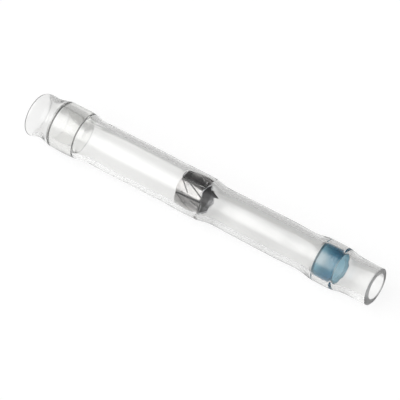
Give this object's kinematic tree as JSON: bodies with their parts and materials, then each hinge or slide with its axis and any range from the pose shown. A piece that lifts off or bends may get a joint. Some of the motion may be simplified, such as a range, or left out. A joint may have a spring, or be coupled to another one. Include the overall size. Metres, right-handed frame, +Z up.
{
  "type": "solder sleeve",
  "caption": "Clear heat-shrink tube for splicing wires, with a solder ring at its middle, a blue seal ring near its plain end and a colourless seal ring near its flared end.",
  "frame": {"origin": "on the surface that the sleeve lies on, under the tube's axis and halfway along it", "axes": "+X along the tube's axis towards the plain end past the blue ring, -X towards the flared end, +Z up from the surface"},
  "size_m": [0.0405, 0.0052, 0.0051],
  "materials": {
    "clear_film": "clear, glossy, with faint shrink creases along it",
    "milky_melt": "milky, colourless hot melt, satin",
    "solder": "rolled solder strip, scored and creased, half bright",
    "blue_melt": "steel blue hot melt, satin"
  },
  "bodies": {
    "root": {"sleeve_tube": "clear_film", "clear_seal_ring": "milky_melt", "solder_ring": "solder", "blue_seal_ring": "blue_melt"}
  },
  "joints": []
}
